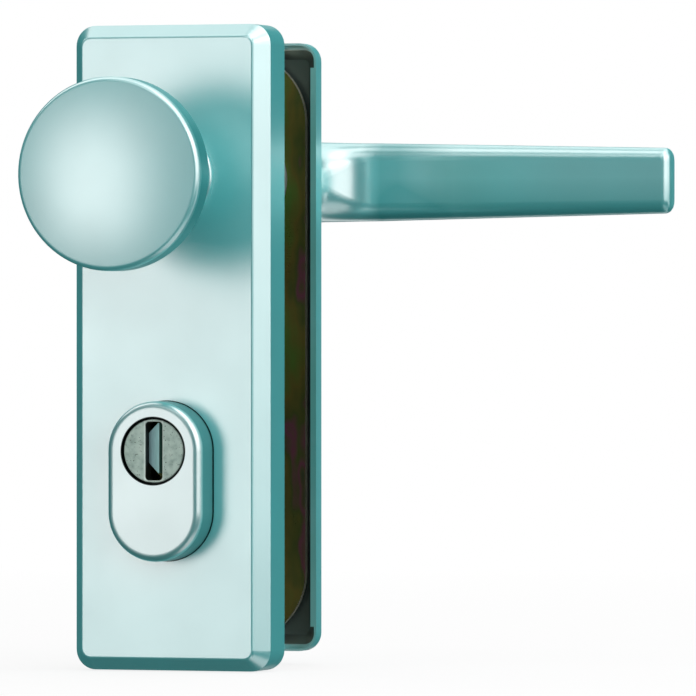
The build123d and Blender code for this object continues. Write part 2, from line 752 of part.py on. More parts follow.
# Lever: the neck stands on the journal, the elbow turns it into the arm, and the arm tapers to its tip
neck_start = inner_face + bush_flange + end_float
bend_x = lever_neck_radius + lever_bend_radius
bend_y = inner_face + lever_back - lever_bend_radius
lever_root_corner = (lever_root_thickness - lever_root_flat) / 2
lever_tip_corner = (lever_tip_thickness - lever_tip_flat) / 2
arm_start_share = bend_x / lever_reach
arm_start_height = 2 * lever_neck_radius + arm_start_share * (lever_tip_height - 2 * lever_neck_radius)


def lever_section(x, y, angle, inner, thickness, height, corner):
    """A rounded section that starts at the distance inner from the bend's centre and is as thick as stated."""
    outwards = Vector(-cos(radians(angle)), sin(radians(angle)), 0)
    along = Vector(sin(radians(angle)), cos(radians(angle)), 0)
    middle = Vector(x, y, 0) + outwards * (inner + thickness / 2)
    with BuildSketch(Plane(origin=middle, x_dir=outwards, z_dir=along)) as outline:
        RectangleRounded(thickness, height, corner)
    return outline.sketch


neck_corner = lever_neck_radius * lever_neck_corner_share
elbow_sections = []
for step in range(elbow_steps + 1):
    angle = 90 * step / elbow_steps
    share = sin(radians(angle)) ** 2  # level at both ends, so that the elbow runs into the neck and the arm
    elbow_sections.append(
        lever_section(
            bend_x,
            bend_y,
            angle,
            lever_bend_radius,
            2 * lever_neck_radius + share * (lever_root_thickness - 2 * lever_neck_radius),
            2 * lever_neck_radius + share * (arm_start_height - 2 * lever_neck_radius),
            neck_corner + share * (lever_root_corner - neck_corner),
        )
    )
with BuildPart() as lever_handle:
    with BuildSketch(across(bend_y)):
        RectangleRounded(2 * lever_neck_radius, 2 * lever_neck_radius, neck_corner)
    extrude(amount=bend_y - neck_start)
    loft(elbow_sections)
    loft(
        [
            elbow_sections[-1],
            lever_section(
                lever_reach, bend_y, 90, lever_bend_radius, lever_tip_thickness, lever_tip_height,
                lever_tip_corner,
            ),
        ],
        ruled=True,
    )
    fillet(lever_handle.faces().sort_by(Axis.X)[-1].edges(), radius=lever_end_rounding)
    with BuildSketch(across(neck_start)):
        Circle(journal_radius)
    extrude(amount=neck_start - journal_end)
    spindle_hole = spindle_side + 2 * spindle_play
    with BuildSketch(across(spindle_inner_end + spindle_tip_room)):
        Rectangle(spindle_hole, spindle_hole)
    extrude(amount=spindle_inner_end + spindle_tip_room - journal_end, mode=Mode.SUBTRACT)
    with BuildSketch(across(driver_front)):
        for side in (-1, 1):
            with Locations((side * 2 * journal_flat, 0)):
                Rectangle(2 * journal_flat, 2 * journal_radius + cut_overrun)
    extrude(amount=driver_front - journal_end, mode=Mode.SUBTRACT)
    with BuildSketch(across(circlip_front)):
        Circle(journal_radius + cut_overrun)
        Circle(circlip_seat_radius, mode=Mode.SUBTRACT)
    extrude(amount=circlip_thickness, mode=Mode.SUBTRACT)
    with Locations(Plane(origin=(0, grub_y, -spindle_side / 2), z_dir=(0, 0, -1))):
        Cylinder(grub_radius + hole_play, lever_neck_radius, align=upright, mode=Mode.SUBTRACT)
lever_handle.part.label = "lever_handle"
export_step(lever_handle.part, "parts/lever_handle.step")

# Square spindle from the lever through the lock's follower
with BuildPart() as spindle:
    with BuildSketch(across(spindle_inner_end)):
        Rectangle(spindle_side, spindle_side)
    extrude(amount=spindle_inner_end - spindle_outer_end)
    end_faces = [spindle.faces().sort_by(Axis.Y)[0], spindle.faces().sort_by(Axis.Y)[-1]]
    chamfer([edge for face in end_faces for edge in face.edges()], length=spindle_chamfer)
spindle.part.label = "spindle"
export_step(spindle.part, "parts/spindle.step")

# Screw in the underside of the neck that clamps the spindle
with BuildPart() as grub_screw:
    with Locations(Plane(origin=(0, grub_y, -spindle_side / 2), z_dir=(0, 0, -1))):
        Cylinder(grub_radius, grub_length, align=upright)
    with BuildSketch(Plane(origin=(0, grub_y, -spindle_side / 2 - grub_length), z_dir=(0, 0, -1))):
        RegularPolygon(grub_socket, 6)
    extrude(amount=-grub_socket_depth, mode=Mode.SUBTRACT)
grub_screw.part.label = "grub_screw"
export_step(grub_screw.part, "parts/grub_screw.step")

# Stamped plate on the journal's flats, with the finger that works in the cup's slot
with BuildPart() as driver_plate:
    with BuildSketch(across(driver_front)):
        Circle(driver_radius)
    extrude(amount=driver_thickness)
    with BuildSketch(across(driver_front)):
        Circle(journal_radius + hole_play)
        Rectangle(
            2 * (journal_flat + hole_play), 2 * journal_radius + cut_overrun, mode=Mode.INTERSECT,
        )
    extrude(amount=driver_thickness, mode=Mode.SUBTRACT)
    with BuildSketch(across(driver_front + finger_height)):
        arc_band(finger_inner_radius, finger_outer_radius, finger_rest_angle, finger_half_angle)
    extrude(amount=finger_height + driver_thickness)
driver_plate.part.label = "driver_plate"
export_step(driver_plate.part, "parts/driver_plate.step")

# Thin washer between the stamped plate and the circlip
with BuildPart() as lever_washer:
    with BuildSketch(across(driver_back)):
        Circle(washer_radius)
        Circle(journal_radius + hole_play, mode=Mode.SUBTRACT)
    extrude(amount=washer_thickness)
lever_washer.part.label = "lever_washer"
export_step(lever_washer.part, "parts/lever_washer.step")

# Open ring in the journal's groove that keeps the lever in the plate
with BuildPart() as lever_circlip:
    with BuildSketch(across(circlip_front)):
        Circle(circlip_radius)
        Circle(circlip_seat_radius + running_play, mode=Mode.SUBTRACT)
        Rectangle(circlip_gap, circlip_radius, align=(Align.CENTER, Align.MAX), mode=Mode.SUBTRACT)
    extrude(amount=circlip_thickness)
lever_circlip.part.label = "lever_circlip"
export_step(lever_circlip.part, "parts/lever_circlip.step")
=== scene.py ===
import json
from math import cos, pi, radians, sin, tan

import bmesh
import bpy
from mathutils import Matrix, Vector


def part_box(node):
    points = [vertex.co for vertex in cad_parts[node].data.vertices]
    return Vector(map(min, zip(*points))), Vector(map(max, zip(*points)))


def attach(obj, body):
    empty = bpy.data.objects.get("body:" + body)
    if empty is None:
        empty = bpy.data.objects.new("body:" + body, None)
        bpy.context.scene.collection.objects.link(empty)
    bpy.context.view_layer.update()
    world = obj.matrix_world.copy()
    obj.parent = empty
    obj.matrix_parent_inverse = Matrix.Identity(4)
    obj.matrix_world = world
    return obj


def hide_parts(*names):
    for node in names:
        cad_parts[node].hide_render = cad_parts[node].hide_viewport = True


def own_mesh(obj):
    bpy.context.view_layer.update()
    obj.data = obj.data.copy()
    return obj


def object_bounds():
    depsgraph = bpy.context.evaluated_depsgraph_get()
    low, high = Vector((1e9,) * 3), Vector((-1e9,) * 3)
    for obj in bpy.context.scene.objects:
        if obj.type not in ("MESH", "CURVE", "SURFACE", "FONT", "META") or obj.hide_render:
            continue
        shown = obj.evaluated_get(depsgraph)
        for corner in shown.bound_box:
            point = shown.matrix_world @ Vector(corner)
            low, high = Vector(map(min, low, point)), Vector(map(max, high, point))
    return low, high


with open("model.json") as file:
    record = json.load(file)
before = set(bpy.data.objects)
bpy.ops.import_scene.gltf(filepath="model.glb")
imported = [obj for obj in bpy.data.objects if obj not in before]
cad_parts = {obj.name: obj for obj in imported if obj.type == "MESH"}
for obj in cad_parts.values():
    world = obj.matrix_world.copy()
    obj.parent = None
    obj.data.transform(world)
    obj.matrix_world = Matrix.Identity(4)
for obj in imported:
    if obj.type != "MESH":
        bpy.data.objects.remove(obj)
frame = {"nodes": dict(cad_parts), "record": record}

bl_info = {
    "name": "Security door handle set",
    "version": (1, 0, 0),
    "blender": (4, 5, 0),
    "location": "View3D > Sidebar > Handle Set",
    "description": "Finishes, fine details and studio for a two-sided door handle set",
    "category": "Object",
}

CAD_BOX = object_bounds()
NODES = frame["nodes"]
MM = 0.001

# Sizes that the finishes and the pieces share with the CAD part
HOLE_RADIUS = 8.9 * MM  # the disc's hole in the cylinder cover
PLATE_BEVEL = 3.3 * MM  # width of the bevels round the outside plate
INNER_WALL = 1.6 * MM  # side walls of the inside cover
INNER_CORNER = 3.4 * MM  # corners of its hollow


def mid_height(box):
    """Height of the middle of a box."""
    low, high = box
    return (low[2] + high[2]) / 2


# Shader maths


class Sig:
    """A socket that carries a number. Sums, differences and products add Math nodes."""

    def __init__(self, tree, socket):
        self.tree = tree
        self.socket = socket

    def _math(self, operation, *values):
        return self.tree.node("ShaderNodeMath", {"operation": operation}, values)

    def __add__(self, other):
        return self._math("ADD", self, other)

    def __radd__(self, other):
        return self._math("ADD", other, self)

    def __sub__(self, other):
        return self._math("SUBTRACT", self, other)

    def __rsub__(self, other):
        return self._math("SUBTRACT", other, self)

    def __mul__(self, other):
        return self._math("MULTIPLY", self, other)

    def __rmul__(self, other):
        return self._math("MULTIPLY", other, self)

    def clamped(self):
        """The number, kept between 0 and 1."""
        settings = {"operation": "MULTIPLY", "use_clamp": True}
        return self.tree.node("ShaderNodeMath", settings, (self, 1.0))


class Tree:
    """A material's or the world's node tree, filled from plain Python."""

    def __init__(self, owner):
        owner.use_nodes = True
        self.nodes = owner.node_tree.nodes
        self.links = owner.node_tree.links
        self.nodes.clear()

    def put(self, target, value):
        """Feeds a socket with a link, or sets its value."""
        if isinstance(value, Sig):
            self.links.new(value.socket, target)
        elif isinstance(value, (tuple, list)) and target.type == "RGBA":
            target.default_value = (*value, 1.0) if len(value) == 3 else value
        else:
            target.default_value = value

    def node(self, kind, settings=None, values=(), output=0):
        """Adds a node: its settings first, then its inputs, by number or by name."""
        made = self.nodes.new(kind)
        for key, value in (settings or {}).items():
            if key == "stops":
                ramp = made.color_ramp
                while len(ramp.elements) < len(value):
                    ramp.elements.new(1.0)
                for element, (place, colour) in zip(ramp.elements, value):
                    element.position = place
                    element.color = (*colour, 1.0)
            else:
                setattr(made, key, value)
        pairs = values.items() if isinstance(values, dict) else enumerate(values)
        for key, value in pairs:
            self.put(made.inputs[key], value)
        return Sig(self, made.outputs[output])

    def place(self, scale=(1, 1, 1)):
        """Object coordinates, stretched as asked."""
        coordinates = self.node("ShaderNodeTexCoord", output="Object")
        return self.node("ShaderNodeMapping", None, {"Vector": coordinates, "Scale": scale})

    def axes(self):
        """The object's own X, Y and Z as three numbers."""
        coordinates = self.node("ShaderNodeTexCoord", output="Object")
        split = self.nodes.new("ShaderNodeSeparateXYZ")
        self.put(split.inputs[0], coordinates)
        return [Sig(self, output) for output in split.outputs]

    def size_of(self, value):
        """A number without its sign."""
        return self.node("ShaderNodeMath", {"operation": "ABSOLUTE"}, (value,))

    def root(self, value):
        """The square root of a number."""
        return self.node("ShaderNodeMath", {"operation": "SQRT"}, (value,))

    def noise(self, vector, scale, detail, roughness):
        """A noise of about as many grains a metre as its scale."""
        values = {"Vector": vector, "Scale": scale, "Detail": detail, "Roughness": roughness}
        return self.node("ShaderNodeTexNoise", None, values)

    def spread(self, value, low, high, to_low, to_high):
        """Maps low to high onto to_low to to_high, and stays at these ends beyond them."""
        values = {
            "Value": value, "From Min": low, "From Max": high, "To Min": to_low, "To Max": to_high,
        }
        return self.node("ShaderNodeMapRange", None, values)

    def rise(self, value, low, high):
        """A mask that is 0 up to low and 1 from high on."""
        return self.spread(value, low, high, 0.0, 1.0)

    def fall(self, value, low, high):
        """A mask that is 1 up to low and 0 from high on."""
        return self.spread(value, low, high, 1.0, 0.0)

    def band(self, value, outside_low, low, high, outside_high):
        """A mask that is 1 from low to high, and 0 beyond the outer two values."""
        return self.rise(value, outside_low, low) * self.fall(value, high, outside_high)

    def blend(self, share, first, second):
        """Mixes two colours."""
        made = self.nodes.new("ShaderNodeMix")
        made.data_type = "RGBA"
        self.put(made.inputs[0], share)
        self.put(made.inputs[6], first)
        self.put(made.inputs[7], second)
        return Sig(self, made.outputs[2])

    def ramp(self, value, stops):
        """The colour at a value between 0 and 1 of a row of colour stops."""
        return self.node("ShaderNodeValToRGB", {"stops": stops}, (value,))

    def bump(self, height, strength, distance):
        """Relief for a shader's Normal."""
        values = {"Height": height, "Strength": strength, "Distance": distance}
        return self.node("ShaderNodeBump", None, values)

    def shader(self, values):
        """A Principled shader."""
        return self.node("ShaderNodeBsdfPrincipled", None, values)

    def finish(self, shader):
        """Gives the shader to the material's surface."""
        output = self.nodes.new("ShaderNodeOutputMaterial")
        self.links.new(shader.socket, output.inputs["Surface"])


def new_material(name, colour):
    """A material with its colour in solid view."""
    material = bpy.data.materials.new(name)
    material.diffuse_color = (*colour, 1.0)
    return material


def shaded(colour, factor):
    """A darker colour, or a lighter one where the factor is above 1."""
    return tuple(channel * factor for channel in colour)


# Masks


def hollow_painted_shade(tree):
    """Painted shade in the hollow of the inside cover, behind its rim and short of its closed face.
    """
    low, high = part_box("inner_cover")
    half_width = high[0] - INNER_WALL - INNER_CORNER
    half_height = (high[2] - low[2]) / 2 - INNER_WALL - INNER_CORNER
    x, y, z = tree.axes()
    beside = tree.rise(tree.size_of(x) - half_width, 0.0, 1.0)
    along = tree.rise(tree.size_of(z - mid_height((low, high))) - half_height, 0.0, 1.0)
    reach = tree.root(beside * beside + along * along)
    # Painted shade: the hollow is darkened where shade falls inside it
    return (
        tree.fall(reach, INNER_CORNER - 0.2 * MM, INNER_CORNER)
        * tree.fall(y, high[1] - 1.2 * MM, high[1] - 0.6 * MM)
        * tree.rise(y, low[1] + 0.1 * MM, low[1] + 0.5 * MM)
    )


def painted_side_shade(node, depth):
    """Mask of painted shade on the turned or milled sides of a piece, from a depth behind its
    front.
    """
    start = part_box(node)[0][1] + depth
    fade = 0.8 * MM

    def mask(tree):
        _, y, _ = tree.axes()
        # Painted shade: the sides are darkened in colour, not made less glossy
        return tree.rise(y, start, start + fade)

    return mask


def painted_edge_shade(tree):
    """A painted dark line between the face and the bevels, along the free side and the top."""
    low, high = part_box("outer_cover")
    x, y, z = tree.axes()
    across = tree.size_of(x - (high[0] - PLATE_BEVEL))
    along = tree.size_of(z - (high[2] - PLATE_BEVEL))
    on_side = tree.fall(across, 0.14 * MM, 0.34 * MM)
    on_top = tree.fall(along, 0.10 * MM, 0.24 * MM)
    face = tree.fall(y, low[1] + 0.4 * MM, low[1] + 0.8 * MM)
    # Painted shade: a dark reflection line drawn into the colour
    return face * (on_side * 0.75 + on_top * 0.4)


def painted_lever_shade(tree):
    """Painted shade on the arm's face towards the door, beside the elbow and along its lower half.
    """
    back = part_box("lever_handle")[1][1]
    x, y, z = tree.axes()
    near = tree.band(x, 19 * MM, 25 * MM, 30 * MM, 46 * MM)
    lower = tree.rise(x, 22 * MM, 30 * MM) * tree.fall(z, -8 * MM, 1 * MM)
    front = tree.fall(y, back - 9 * MM, back - 6 * MM)
    # Painted shade: darker where the face would reflect too bright, and darker towards its bottom
    return front * tree.rise(near * 0.8 + lower * 0.9, 0.0, 1.0)


def painted_gap_shade(tree):
    """Painted shade in the gap round the turning disc and in the seam between the cover and the
    plate.
    """
    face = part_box("outer_cover")[0][1]
    x, y, z = tree.axes()
    drop = z - mid_height(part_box("core_disc"))
    across = tree.root(x * x + drop * drop)
    gap = tree.fall(across, HOLE_RADIUS + 0.05 * MM, HOLE_RADIUS + 0.2 * MM)
    seam = tree.rise(y, face - 0.75 * MM, face - 0.5 * MM)
    # Painted shade: near black where the gap and the seam lie in shadow
    return tree.rise(gap + seam, 0.0, 1.0)


# Finishes

NOISE_SPAN = (0.3, 0.7)  # where most values of a noise lie

# What the painted shade looks like on sides, edges and the lever, in the disc's gap and seam, and
# in the inside cover's hollow, in the oxide and in the sheen over it
PAINTED_SHADE_OXIDE_SHARE = 0.75
PAINTED_SHADE_SHEEN = (0.30, 0.40, 0.40)
# Near black, for the painted shade in the disc's gap and the cover's seam
GAP_SHADE_OXIDE = (0.004, 0.012, 0.011)
GAP_SHADE_SHEEN = (0.01, 0.02, 0.02)
# Dark grey-green, for the painted shade in the inside cover's hollow
HOLLOW_SHADE_OXIDE = (0.13, 0.175, 0.16)
HOLLOW_SHADE_SHEEN = (0.16, 0.21, 0.20)

DISC_MOTTLE = (
    (0.0, (0.24, 0.33, 0.29)),
    (0.45, (0.38, 0.50, 0.445)),
    (1.0, (0.50, 0.62, 0.55)),
)
DISC_PIT = (0.09, 0.11, 0.10)
# Pale slot edges: wear, and a painted highlight along them
DISC_EDGE_WEAR_AND_HIGHLIGHT = (0.66, 0.76, 0.70)
# Near black, for the painted shade down the walls of the key slot
DISC_SLOT_SHADE = (0.006, 0.010, 0.009)

CHROMATE_DRIFT = (
    (0.0, (0.100, 0.260, 0.050)),
    (0.26, (0.150, 0.210, 0.045)),
    (0.46, (0.190, 0.170, 0.042)),
    (0.66, (0.105, 0.140, 0.040)),
    (0.80, (0.230, 0.085, 0.130)),
    (0.90, (0.140, 0.120, 0.065)),
    (1.0, (0.070, 0.120, 0.060)),
)
# Bright cut edges: bare steel, and a painted highlight
CHROMATE_CUT_EDGE_AND_HIGHLIGHT = (1.0, 0.94, 0.78)

FLAP_GREEN = (0.34, 0.66, 0.60)
# Near black, for the painted shade where the flap bends inwards into the slot
FLAP_PAINTED_SHADE = (0.012, 0.05, 0.036)


def satin_aluminium(
    settings, name="satin_aluminium", painted_shade=None, gap_shade=None, hollow_shade=None, extra_sheen=0.0,
):
    """Bead-blasted and anodised aluminium: a coloured oxide layer under a pale satin sheen.

    The three mask arguments give painted shade: on sides, edges and the lever; in the disc's gap
    and the cover's seam; in the inside cover's hollow. Each is a function that is given the tree
    and returns a share.
    """
    material = new_material(name, settings.oxide_colour)
    tree = Tree(material)
    place = tree.place()
    grain = tree.noise(place, 2600, 2.0, 0.6)
    cloud = tree.noise(place, 45, 3.0, 0.5)
    relief = tree.bump(grain, 0.03, 0.01 * MM)
    tone = tree.rise(cloud, *NOISE_SPAN)
    deep = tuple(settings.oxide_colour)
    pale = tuple(settings.sheen_colour)
    oxide_shade = tree.blend(tone, deep, shaded(deep, 0.93))
    sheen_shade = tree.blend(tone, pale, shaded(pale, 0.97))
    # Blends in the painted shade of each mask
    for mask, oxide_there, sheen_there in (
        (painted_shade, shaded(deep, PAINTED_SHADE_OXIDE_SHARE), PAINTED_SHADE_SHEEN),
        (gap_shade, GAP_SHADE_OXIDE, GAP_SHADE_SHEEN),
        (hollow_shade, HOLLOW_SHADE_OXIDE, HOLLOW_SHADE_SHEEN),
    ):
        if mask:
            share = mask(tree)
            oxide_shade = tree.blend(share, oxide_shade, oxide_there)
            sheen_shade = tree.blend(share, sheen_shade, sheen_there)
    oxide = tree.shader({
        "Base Color": oxide_shade,
        "Metallic": 0.0,
        "Roughness": 0.5,
        "Specular IOR Level": 0.0,
        "Normal": relief,
    })
    blur = settings.sheen_roughness
    sheen = tree.shader({
        "Base Color": sheen_shade,
        "Metallic": 1.0,
        "Roughness": tree.spread(grain * 0.4 + cloud, 0.4, 1.0, blur - 0.012, blur + 0.02),
        "Normal": relief,
    })
    share = settings.sheen_share + extra_sheen
    tree.finish(tree.node("ShaderNodeMixShader", None, {0: share, 1: oxide, 2: sheen}))
    return material


def disc_steel(settings):
    """Hardened, tumbled steel: mottled grey-green, small pits, slot edges pale with wear and a
    painted highlight, and painted shade down the slot.
    """
    material = new_material("hardened_disc_steel", settings.disc_colour)
    tree = Tree(material)
    place = tree.place()
    mottle = tree.noise(place, 420, 4.0, 0.6)
    pits = tree.noise(place, 1900, 2.0, 0.5)
    shade = tree.ramp(tree.rise(mottle, 0.3, 0.72), DISC_MOTTLE)
    low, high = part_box("core_disc")
    x, y, z = tree.axes()
    beside = tree.size_of(x)
    along = tree.size_of(z - mid_height((low, high)))
    # Wear and a painted highlight along the slot's edges
    worn_and_lit = tree.fall(beside, 2.62 * MM, 2.85 * MM) * tree.fall(along, 7.9 * MM, 8.1 * MM)
    # Painted shade, deeper into the slot
    depth = tree.rise(y, low[1] + 0.22 * MM, low[1] + 0.8 * MM)
    metal = tree.blend(tree.rise(pits, 0.30, 0.36), DISC_PIT, shade)
    metal = tree.blend(worn_and_lit * 0.6, metal, DISC_EDGE_WEAR_AND_HIGHLIGHT)
    tree.finish(tree.shader({
        "Base Color": tree.blend(depth, metal, DISC_SLOT_SHADE),
        "Metallic": 0.45,
        "Roughness": tree.spread(mottle, *NOISE_SPAN, 0.42, 0.56),
        "Normal": tree.bump(mottle + pits * 0.6, 0.25, 0.1 * MM),
    }))
    return material


def chromated_steel(settings):
    """Yellow-chromated steel: olive with drifts of green, gold and purple, and cut edges painted
    bright, as bare steel and as a painted highlight.
    """
    material = new_material("yellow_chromated_steel", settings.chromate_colour)
    tree = Tree(material)
    drift = tree.noise(tree.place((1.0, 1.0, 0.45)), 62, 3.0, 0.6)
    streak = tree.noise(tree.place((1.0, 1.0, 0.12)), 260, 2.0, 0.5)
    fine = tree.noise(tree.place(), 2400, 2.0, 0.5)
    _, y, z = tree.axes()
    low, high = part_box("inner_mounting_plate")
    greener = tree.spread(z, low[2], high[2], 0.04, -0.06)
    # Bare steel and a painted highlight on the cut edges
    cut = tree.band(
        y, low[1] + 0.1 * MM, low[1] + 0.3 * MM, high[1] - 0.3 * MM, high[1] - 0.1 * MM,
    )
    shade = tree.ramp(
        tree.rise(drift * 0.85 + streak * 0.15 + greener, 0.34, 0.66), CHROMATE_DRIFT,
    )
    tree.finish(tree.shader({
        "Base Color": tree.blend(cut, shade, CHROMATE_CUT_EDGE_AND_HIGHLIGHT),
        "Metallic": 0.75,
        "Roughness": tree.spread(fine + streak, 0.6, 1.4, 0.26, 0.40),
        "Normal": tree.bump(fine, 0.12, 0.05 * MM),
    }))
    return material


def zinc_steel(settings):
    """Bright zinc plating: cool grey with a faint crystal bloom."""
    material = new_material("zinc_plated_steel", settings.zinc_colour)
    tree = Tree(material)
    place = tree.place()
    bloom = tree.noise(place, 310, 3.0, 0.55)
    fine = tree.noise(place, 3300, 2.0, 0.5)
    colour = tuple(settings.zinc_colour)
    tree.finish(tree.shader({
        "Base Color": tree.blend(tree.rise(bloom, 0.35, 0.65), colour, shaded(colour, 0.8)),
        "Metallic": 0.7,
        "Roughness": tree.spread(bloom, *NOISE_SPAN, 0.28, 0.42),
        "Normal": tree.bump(fine, 0.15, 0.05 * MM),
    }))
    return material


def grained(name, colour, grain, drift, metallic, roughness, relief):
    """A finish of one colour, which drifts by a factor with the grain that also gives its relief.

    grain is a noise's scale, detail and roughness. relief is a bump's strength and distance.
    """
    material = new_material(name, colour)
    tree = Tree(material)
    fine = tree.noise(tree.place(), *grain)
    tone = tree.rise(fine, *NOISE_SPAN)
    tree.finish(tree.shader({
        "Base Color": tree.blend(tone, tuple(colour), shaded(colour, drift)),
        "Metallic": metallic,
        "Roughness": tree.spread(fine, *NOISE_SPAN, *roughness),
        "Normal": tree.bump(fine, *relief),
    }))
    return material


def black_steel(settings):
    """Black oxide on small hard screws and rings."""
    return grained(
        "black_steel", settings.black_colour, grain=(1500, 3.0, 0.6), drift=1.8,
        metallic=0.6, roughness=(0.34, 0.5), relief=(0.2, 0.05 * MM),
    )


def spring_steel(settings):
    """Drawn spring wire."""
    return grained(
        "spring_steel", settings.wire_colour, grain=(2600, 2.0, 0.6), drift=0.7,
        metallic=1.0, roughness=(0.24, 0.36), relief=(0.15, 0.03 * MM),
    )


def nylon(settings):
    """Dark moulded nylon with a fine spark-eroded texture."""
    return grained(
        "nylon", settings.nylon_colour, grain=(2100, 3.0, 0.6), drift=1.3,
        metallic=0.0, roughness=(0.48, 0.62), relief=(0.25, 0.06 * MM),
    )


def flap_steel(settings):
    """Smooth bluish spring steel of the flap behind the key slot, with painted shade where it bends
    inwards.
    """
    material = new_material("flap_steel", settings.flap_colour)
    tree = Tree(material)
    streak = tree.noise(tree.place((1.0, 1.0, 0.15)), 2200, 2.0, 0.5)
    colour = tuple(settings.flap_colour)
    x, _, _ = tree.axes()
    # Painted shade where the flap bends inwards
    bent = tree.rise(x, 1.05 * MM, 1.25 * MM)
    metal = tree.blend(tree.rise(streak, *NOISE_SPAN), colour, shaded(colour, 0.82))
    metal = tree.blend(tree.spread(x, -2.0 * MM, 1.0 * MM, 0.0, 0.4), metal, FLAP_GREEN)
    tree.finish(tree.shader({
        "Base Color": tree.blend(bent, metal, FLAP_PAINTED_SHADE),
        "Metallic": 0.25,
        "Roughness": tree.spread(streak, *NOISE_SPAN, 0.30, 0.42),
        "Normal": tree.bump(streak, 0.1, 0.01 * MM),
    }))
    return material


FINISHES = {
    "satin_aluminium": satin_aluminium,
    "hardened_disc_steel": disc_steel,
    "yellow_chromated_steel": chromated_steel,
    "zinc_plated_steel": zinc_steel,
    "black_steel": black_steel,
    "spring_steel": spring_steel,
    "nylon": nylon,
}


def finish_for(context, slot):
    """The material for one of the record's slots, made when it is first asked for."""
    material = bpy.data.materials.get(slot)
    if material is None or not material.get("made_here"):
        material = FINISHES[slot](context.scene.handle_finishes)
        material["made_here"] = True
        material.name = slot
    return bpy.data.materials[material.name]


def paint(name, material):
    """Gives a CAD node a material."""
    for mesh_slot in NODES[name].material_slots:
        mesh_slot.material = material


def dress(context, names):
    """Gives CAD nodes the finish of their slot."""
    slots = {part["node"]: part["material_slot"] for part in frame["record"]["subparts"]}
    for name in names:
        paint(name, finish_for(context, slots[name]))


# Settings


class HandleFinishes(bpy.types.PropertyGroup):
    oxide_colour: bpy.props.FloatVectorProperty(
        name="Oxide", description="Colour of the anodised layer", subtype="COLOR", size=3,
        default=(0.07, 0.78, 0.80), min=0.0, max=1.0,
    )
    sheen_colour: bpy.props.FloatVectorProperty(
        name="Sheen", description="Colour of the satin reflection", subtype="COLOR", size=3,
        default=(0.97, 0.95, 0.94), min=0.0, max=1.0,
    )
    sheen_share: bpy.props.FloatProperty(
        name="Sheen share", description="How much of the surface reflects as pale metal",
        default=0.68, min=0.0, max=1.0, subtype="FACTOR",
    )
    sheen_roughness: bpy.props.FloatProperty(
        name="Sheen roughness", description="Blur of the satin reflection",
        default=0.295, min=0.05, max=1.0, subtype="FACTOR",
    )
    disc_colour: bpy.props.FloatVectorProperty(
        name="Disc steel", description="Colour of the hardened disc in solid view",
        subtype="COLOR", size=3, default=(0.33, 0.38, 0.345), min=0.0, max=1.0,
    )
    chromate_colour: bpy.props.FloatVectorProperty(
        name="Chromate", description="Colour of the chromated plate in solid view",
        subtype="COLOR", size=3, default=(0.08, 0.08, 0.03), min=0.0, max=1.0,
    )
    zinc_colour: bpy.props.FloatVectorProperty(
        name="Zinc", description="Colour of the zinc plating", subtype="COLOR", size=3,
        default=(0.60, 0.62, 0.63), min=0.0, max=1.0,
    )
    black_colour: bpy.props.FloatVectorProperty(
        name="Black oxide", description="Colour of the blackened screws and rings",
        subtype="COLOR", size=3, default=(0.03, 0.03, 0.032), min=0.0, max=1.0,
    )
    wire_colour: bpy.props.FloatVectorProperty(
        name="Wire", description="Colour of the spring wire", subtype="COLOR", size=3,
        default=(0.38, 0.38, 0.40), min=0.0, max=1.0,
    )
    flap_colour: bpy.props.FloatVectorProperty(
        name="Flap steel", description="Colour of the flap behind the key slot",
        subtype="COLOR", size=3, default=(0.30, 0.50, 0.53), min=0.0, max=1.0,
    )
    nylon_colour: bpy.props.FloatVectorProperty(
        name="Nylon", description="Colour of the bearing", subtype="COLOR", size=3,
        default=(0.05, 0.055, 0.055), min=0.0, max=1.0,
    )


class HandleStudio(bpy.types.PropertyGroup):
    floor_drop: bpy.props.FloatProperty(
        name="Floor", description="Height of the floor, just under the outside plate",
        default=-0.1302, unit="LENGTH",
    )
    floor_size: bpy.props.FloatProperty(
        name="Floor size", description="Side of the floor", default=12.0, unit="LENGTH",
    )
    soft_light: bpy.props.FloatProperty(
        name="Soft light", description="Brightness of the soft boxes, as a share of the usual",
        default=1.0, min=0.0, max=4.0,
    )
    room_light: bpy.props.FloatProperty(
        name="Room light", description="Brightness of the room between the soft boxes",
        default=0.45, min=0.0, max=2.0,
    )
    lens: bpy.props.FloatProperty(
        name="Lens", description="Focal length on a 36 mm sensor, in millimetres",
        default=431.384,
    )


# Pieces

WELD = 0.001 * MM  # corners nearer than this are one
SMOOTH_ANGLE = radians(40)


def block(name, low, high):
    """A box between two corners, as the start of a piece."""
    bpy.ops.object.select_all(action="DESELECT")
    bpy.ops.mesh.primitive_cube_add(size=1.0, location=(Vector(low) + Vector(high)) / 2)
    piece = bpy.context.object
    piece.name = name
    piece.scale = Vector(high) - Vector(low)
    bpy.ops.object.transform_apply(location=True, rotation=True, scale=True)
    return piece


def pick(piece, kind, test):
    """In edit mode, selects the faces, edges or vertices of one kind that pass a test."""
    bpy.ops.mesh.select_all(action="DESELECT")
    bpy.ops.mesh.select_mode(type=kind)
    mesh = bmesh.from_edit_mesh(piece.data)
    for item in {"VERT": mesh.verts, "EDGE": mesh.edges, "FACE": mesh.faces}[kind]:
        item.select_set(test(item))
    mesh.select_flush_mode()
    bmesh.update_edit_mesh(piece.data)


